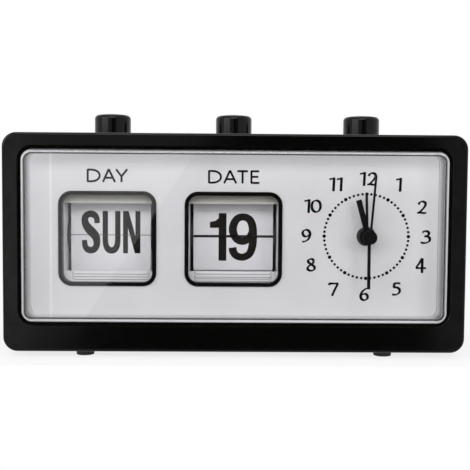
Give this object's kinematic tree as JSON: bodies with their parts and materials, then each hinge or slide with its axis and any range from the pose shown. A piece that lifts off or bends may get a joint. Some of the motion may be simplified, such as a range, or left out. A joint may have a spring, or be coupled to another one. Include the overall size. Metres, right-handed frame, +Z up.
{
  "type": "flip calendar clock",
  "caption": "Desk clock with day and date flip-leaf counters behind a clear lens, an alarm clock face beside them and push buttons on top of a black moulded case.",
  "frame": {"origin": "on the standing surface, under the middle of the whole clock", "axes": "+X to the right seen from the front, +Y towards the back, +Z up"},
  "size_m": [0.178, 0.072, 0.0955],
  "materials": {
    "black_abs": "semi-gloss moulded",
    "clear_acrylic": "clear polished",
    "dial_white": "satin white",
    "black_frame": "semi-gloss",
    "leaf_film": "matt printed film",
    "drum_plastic": "moulded",
    "hand_black": "matt black paint",
    "spring_steel": "bright rolled",
    "gear_acetal": "moulded natural",
    "movement_plastic": "moulded",
    "circuit_green": "lacquered laminate",
    "copper_winding": "enamelled wire",
    "nickel_strip": "nickel plated",
    "red_insulation": "PVC",
    "black_insulation": "PVC",
    "foot_rubber": "matt"
  },
  "bodies": {
    "case": {"front_bezel": "black_abs", "case_shell": "black_abs", "rear_cover": "black_abs", "battery_box": "black_abs", "lens": "clear_acrylic", "dial_plate": "dial_white", "day_window_frame": "black_frame", "date_window_frame": "black_frame", "day_carrier": "dial_white", "date_carrier": "dial_white", "day_detent": "spring_steel", "date_detent": "spring_steel", "day_button_spring": "spring_steel", "date_button_spring": "spring_steel", "alarm_button_spring": "spring_steel", "cover_screws": "spring_steel", "dial_screws": "spring_steel", "movement_plate": "movement_plastic", "movement_case": "movement_plastic", "buzzer": "movement_plastic", "circuit_board": "circuit_green", "motor_coil": "copper_winding", "battery_plate_contact": "nickel_strip", "battery_spring_contact": "nickel_strip", "alarm_switch_blade": "nickel_strip", "positive_lead": "red_insulation", "negative_lead": "black_insulation", "rubber_feet": "foot_rubber"},
    "day_button": {"day_button": "black_abs"},
    "date_button": {"date_button": "black_abs"},
    "alarm_button": {"alarm_button": "black_abs"},
    "day_drum": {"day_drum": "drum_plastic", "day_axle": "spring_steel", "day_ratchet": "drum_plastic", "day_leaves": "leaf_film"},
    "date_drum": {"date_drum": "drum_plastic", "date_axle": "spring_steel", "date_ratchet": "drum_plastic", "date_leaves": "leaf_film"},
    "day_flip_leaf": {"day_flip_leaf": "leaf_film"},
    "date_flip_leaf": {"date_flip_leaf": "leaf_film"},
    "second_hand": {"second_hand": "hand_black"},
    "minute_hand": {"minute_hand": "hand_black", "cannon_pinion": "gear_acetal"},
    "hour_hand": {"hour_hand": "hand_black", "hour_wheel": "gear_acetal"},
    "alarm_hand": {"alarm_hand": "hand_black", "alarm_wheel": "gear_acetal"},
    "time_set": {"minute_wheel": "gear_acetal", "time_set_knob": "black_abs"},
    "alarm_set": {"alarm_set_pinion": "gear_acetal", "alarm_set_knob": "black_abs"},
    "battery_door": {"battery_door": "black_abs"}
  },
  "joints": [
    {"name": "day_button_press", "type": "slide", "parent": "case", "child": "day_button", "axis": [0, 0, -1], "range_m": [0, 0.00421], "stiffness_N_per_m": 400, "springref_m": -0.002, "deforming": ["day_button_spring"]},
    {"name": "day_drum_step", "type": "hinge", "parent": "case", "child": "day_drum", "pos_m": [-0.05048, -0.0065, 0.046], "axis": [1, 0, 0], "range_deg": [0, 25.71]},
    {"name": "day_leaf_fall", "type": "hinge", "parent": "day_drum", "child": "day_flip_leaf", "pos_m": [-0.05048, -0.01235, 0.04734], "axis": [1, 0, 0], "range_deg": [0, 154.29]},
    {"name": "date_button_press", "type": "slide", "parent": "case", "child": "date_button", "axis": [0, 0, -1], "range_m": [0, 0.00202], "stiffness_N_per_m": 400, "springref_m": -0.002, "deforming": ["date_button_spring"]},
    {"name": "date_drum_step", "type": "hinge", "parent": "case", "child": "date_drum", "pos_m": [-0.00053, -0.0065, 0.046], "axis": [1, 0, 0], "range_deg": [0, 11.61]},
    {"name": "date_leaf_fall", "type": "hinge", "parent": "date_drum", "child": "date_flip_leaf", "pos_m": [-0.00053, -0.01247, 0.04661], "axis": [1, 0, 0], "range_deg": [0, 168.39]},
    {"name": "alarm_button_press", "type": "slide", "parent": "case", "child": "alarm_button", "axis": [0, 0, -1], "range_m": [0, 0.003], "stiffness_N_per_m": 400, "springref_m": -0.002, "deforming": ["alarm_button_spring"]},
    {"name": "second_hand_turn", "type": "hinge", "parent": "case", "child": "second_hand", "pos_m": [0.0523, 0, 0.04665], "axis": [0, 1, 0], "continuous": true},
    {"name": "minute_hand_turn", "type": "hinge", "parent": "case", "child": "minute_hand", "pos_m": [0.0523, 0, 0.04665], "axis": [0, 1, 0], "continuous": true},
    {"name": "hour_hand_turn", "type": "hinge", "parent": "case", "child": "hour_hand", "pos_m": [0.0523, 0, 0.04665], "axis": [0, 1, 0], "continuous": true},
    {"name": "time_set_turn", "type": "hinge", "parent": "case", "child": "time_set", "pos_m": [0.04458, 0, 0.03746], "axis": [0, 1, 0], "continuous": true},
    {"name": "alarm_set_turn", "type": "hinge", "parent": "case", "child": "alarm_set", "pos_m": [0.06001, 0, 0.03746], "axis": [0, 1, 0], "continuous": true},
    {"name": "alarm_hand_turn", "type": "hinge", "parent": "case", "child": "alarm_hand", "pos_m": [0.0523, 0, 0.04665], "axis": [0, 1, 0], "continuous": true},
    {"name": "battery_door_swing", "type": "hinge", "parent": "case", "child": "battery_door", "pos_m": [-0.03, 0.0295, 0.018], "axis": [-1, 0, 0], "range_deg": [0, 95]}
  ],
  "couplings": [
    {"joint": "day_drum_step", "follows": "day_button_press", "rad_per_m": 106.73},
    {"joint": "day_leaf_fall", "follows": "day_button_press", "rad_per_m": 640.38},
    {"joint": "date_drum_step", "follows": "date_button_press", "rad_per_m": 100.29},
    {"joint": "date_leaf_fall", "follows": "date_button_press", "rad_per_m": 1454.2},
    {"joint": "hour_hand_turn", "follows": "minute_hand_turn", "ratio": 0.083333},
    {"joint": "time_set_turn", "follows": "minute_hand_turn", "ratio": -0.33333},
    {"joint": "alarm_hand_turn", "follows": "alarm_set_turn", "ratio": -0.25}
  ]
}
